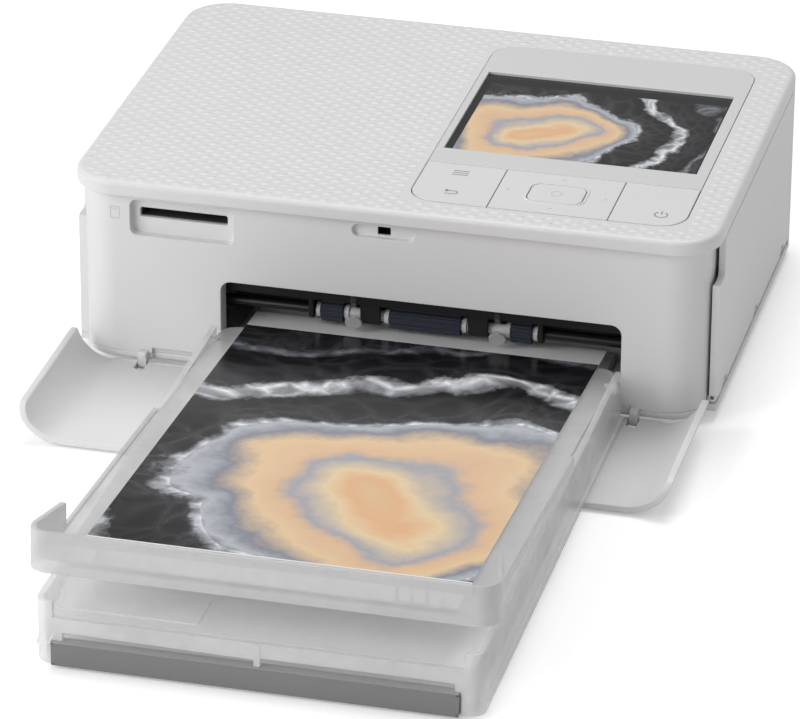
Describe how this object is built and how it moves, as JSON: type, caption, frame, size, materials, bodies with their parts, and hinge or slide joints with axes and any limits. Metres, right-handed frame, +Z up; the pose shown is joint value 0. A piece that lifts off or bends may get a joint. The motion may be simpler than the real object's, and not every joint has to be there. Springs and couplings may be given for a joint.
{
  "type": "compact photo printer",
  "caption": "Compact dye-sublimation photo printer with its front door open, paper cassette fitted and a print lying in the output tray.",
  "frame": {"origin": "centre of the bounding box's base, on the table", "axes": "+Z up, +Y to the printer's rear (the paper cassette points to -Y), +X to the right seen from the front"},
  "size_m": [0.1822, 0.3, 0.0577],
  "materials": {
    "shell": "fine satin, off-white; top face with small raised dashes",
    "foot_rubber": "matte",
    "steel": "satin sheet and turned steel",
    "black_plastic": "satin",
    "grey_plastic": "satin",
    "screen": "glossy clear cover over a lit display",
    "circuit": "solder-resist green",
    "brass": "turned",
    "gear_plastic": "moulded, natural",
    "clear_plastic": "translucent grey",
    "shaft_plastic": "moulded white",
    "roller_rubber": "matte, ribbed on the exit rollers",
    "aluminium": "extruded",
    "ink_plastic": "satin",
    "film": "thin coloured film on a plastic core",
    "frosted": "frosted, slightly translucent",
    "bar_plastic": "satin mid grey",
    "paper": "smooth card",
    "print": "glossy printed picture with a plain white border tab at each end"
  },
  "bodies": {
    "printer": {"top_cover": "shell", "housing": "shell", "bottom_cover": "shell", "rear_cover": "shell", "feet": "foot_rubber", "screws": "steel", "door_catch": "black_plastic", "door_pins": "steel", "ink_door_pin": "steel", "control_panel": "shell", "screen_window": "screen", "screen_module": "grey_plastic", "key_board": "circuit", "frame_plates": "steel", "main_board": "circuit", "card_reader": "grey_plastic", "usb_port": "steel", "power_jack": "black_plastic", "fan_housing": "black_plastic", "feed_motor": "steel", "ribbon_motor": "steel", "exit_guide": "black_plastic", "guide_fingers": "clear_plastic"},
    "front_door": {"front_door": "shell"},
    "ink_door": {"ink_door": "shell"},
    "menu_back_key": {"menu_back_key": "shell"},
    "nav_gimbal": {"nav_gimbal": "grey_plastic"},
    "nav_key": {"nav_key": "shell"},
    "ok_key": {"ok_key": "shell"},
    "wireless_power_key": {"wireless_power_key": "shell"},
    "fan_rotor": {"fan_rotor": "grey_plastic"},
    "motor_pinion": {"motor_pinion": "brass"},
    "idler_gear": {"idler_gear": "gear_plastic"},
    "exit_roller": {"exit_shaft": "shaft_plastic", "exit_rollers": "roller_rubber", "exit_gear": "gear_plastic"},
    "grip_roller": {"grip_roller": "steel", "grip_gear": "gear_plastic"},
    "pinch_roller": {"pinch_roller": "roller_rubber"},
    "platen": {"platen_shaft": "steel", "platen_rubber": "roller_rubber"},
    "print_head": {"head_bracket": "steel", "thermal_head": "aluminium"},
    "ink_cassette": {"ink_cassette": "ink_plastic", "ribbon_film": "film"},
    "supply_spool": {"supply_spool": "film"},
    "takeup_spool": {"takeup_spool": "film"},
    "takeup_drive": {"takeup_drive": "gear_plastic"},
    "ribbon_pinion": {"ribbon_pinion": "brass"},
    "paper_cassette": {"cassette_base": "frosted", "front_bar": "bar_plastic", "paper_stack": "paper"},
    "inner_cover": {"inner_cover": "frosted"},
    "output_tray": {"output_tray": "frosted", "print_sheet": "print"}
  },
  "joints": [
    {"name": "cassette_slide", "type": "slide", "parent": "printer", "child": "paper_cassette", "axis": [0, -1, 0], "range_m": [0, 0.2]},
    {"name": "output_tray_hinge", "type": "hinge", "parent": "paper_cassette", "child": "output_tray", "pos_m": [0.009, 0.009, 0.0156], "axis": [-1, 0, 0], "range_deg": [0, 8]},
    {"name": "inner_cover_hinge", "type": "hinge", "parent": "paper_cassette", "child": "inner_cover", "pos_m": [0.009, -0.019, 0.013], "axis": [-1, 0, 0], "range_deg": [0, 4]},
    {"name": "front_door_hinge", "type": "hinge", "parent": "printer", "child": "front_door", "pos_m": [0, 0.0181, 0.0017], "axis": [-1, 0, 0], "range_deg": [0, 0.4]},
    {"name": "ink_door_hinge", "type": "hinge", "parent": "printer", "child": "ink_door", "pos_m": [0.0896, 0.082, 0.0066], "axis": [0, 1, 0], "range_deg": [0, 90]},
    {"name": "ink_cassette_slide", "type": "slide", "parent": "printer", "child": "ink_cassette", "axis": [1, 0, 0], "range_m": [0, 0.006]},
    {"name": "head_lift_hinge", "type": "hinge", "parent": "printer", "child": "print_head", "pos_m": [0.008, 0.118, 0.0462], "axis": [-1, 0, 0], "range_deg": [0, 2.5]},
    {"name": "grip_roller_spin", "type": "hinge", "parent": "printer", "child": "grip_roller", "pos_m": [0.009, 0.051, 0.0229], "axis": [1, 0, 0], "continuous": true},
    {"name": "exit_roller_spin", "type": "hinge", "parent": "printer", "child": "exit_roller", "pos_m": [0.009, 0.0295, 0.0196], "axis": [1, 0, 0], "continuous": true},
    {"name": "idler_gear_spin", "type": "hinge", "parent": "printer", "child": "idler_gear", "pos_m": [-0.0665, 0.04044, 0.0172], "axis": [1, 0, 0], "continuous": true},
    {"name": "motor_pinion_spin", "type": "hinge", "parent": "printer", "child": "motor_pinion", "pos_m": [-0.0665, 0.05958, 0.0301], "axis": [1, 0, 0], "continuous": true},
    {"name": "pinch_roller_spin", "type": "hinge", "parent": "printer", "child": "pinch_roller", "pos_m": [0.009, 0.051, 0.016], "axis": [1, 0, 0], "continuous": true},
    {"name": "platen_spin", "type": "hinge", "parent": "printer", "child": "platen", "pos_m": [0.009, 0.079, 0.0124], "axis": [1, 0, 0], "continuous": true},
    {"name": "takeup_drive_spin", "type": "hinge", "parent": "printer", "child": "takeup_drive", "pos_m": [-0.0665, 0.103, 0.0364], "axis": [1, 0, 0], "continuous": true},
    {"name": "takeup_spool_spin", "type": "hinge", "parent": "ink_cassette", "child": "takeup_spool", "pos_m": [0.009, 0.103, 0.0364], "axis": [1, 0, 0], "continuous": true},
    {"name": "supply_spool_spin", "type": "hinge", "parent": "ink_cassette", "child": "supply_spool", "pos_m": [0.009, 0.059, 0.0364], "axis": [1, 0, 0], "continuous": true},
    {"name": "ribbon_pinion_spin", "type": "hinge", "parent": "printer", "child": "ribbon_pinion", "pos_m": [-0.0665, 0.10765, 0.02362], "axis": [1, 0, 0], "continuous": true},
    {"name": "fan_spin", "type": "hinge", "parent": "printer", "child": "fan_rotor", "pos_m": [-0.064, 0.144, 0.037], "axis": [0, 1, 0], "continuous": true},
    {"name": "menu_back_key_rock", "type": "hinge", "parent": "printer", "child": "menu_back_key", "pos_m": [0.0144, 0.0394, 0.0553], "axis": [1, 0, 0], "range_deg": [-2.3, 2.3], "stiffness_Nm_per_rad": 0.02},
    {"name": "wireless_power_key_rock", "type": "hinge", "parent": "printer", "child": "wireless_power_key", "pos_m": [0.0699, 0.0394, 0.0553], "axis": [1, 0, 0], "range_deg": [-2.3, 2.3], "stiffness_Nm_per_rad": 0.02},
    {"name": "nav_gimbal_tilt", "type": "hinge", "parent": "printer", "child": "nav_gimbal", "pos_m": [0.0426, 0.0394, 0.0544], "axis": [1, 0, 0], "range_deg": [-1.2, 1.2], "stiffness_Nm_per_rad": 0.02},
    {"name": "nav_key_tilt", "type": "hinge", "parent": "nav_gimbal", "child": "nav_key", "pos_m": [0.0426, 0.0394, 0.0544], "axis": [0, 1, 0], "range_deg": [-0.9, 0.9], "stiffness_Nm_per_rad": 0.02},
    {"name": "ok_key_press", "type": "slide", "parent": "printer", "child": "ok_key", "axis": [0, 0, -1], "range_m": [0, 0.00035], "stiffness_N_per_m": 500}
  ],
  "couplings": [
    {"joint": "exit_roller_spin", "follows": "grip_roller_spin", "ratio": 1.125},
    {"joint": "idler_gear_spin", "follows": "grip_roller_spin", "ratio": -1.5},
    {"joint": "motor_pinion_spin", "follows": "grip_roller_spin", "ratio": -1.8},
    {"joint": "pinch_roller_spin", "follows": "grip_roller_spin", "ratio": -1.129},
    {"joint": "platen_spin", "follows": "grip_roller_spin", "ratio": -0.5},
    {"joint": "takeup_spool_spin", "follows": "takeup_drive_spin", "ratio": 1},
    {"joint": "ribbon_pinion_spin", "follows": "takeup_drive_spin", "ratio": -2.4},
    {"joint": "supply_spool_spin", "follows": "takeup_drive_spin", "ratio": 0.66667}
  ]
}
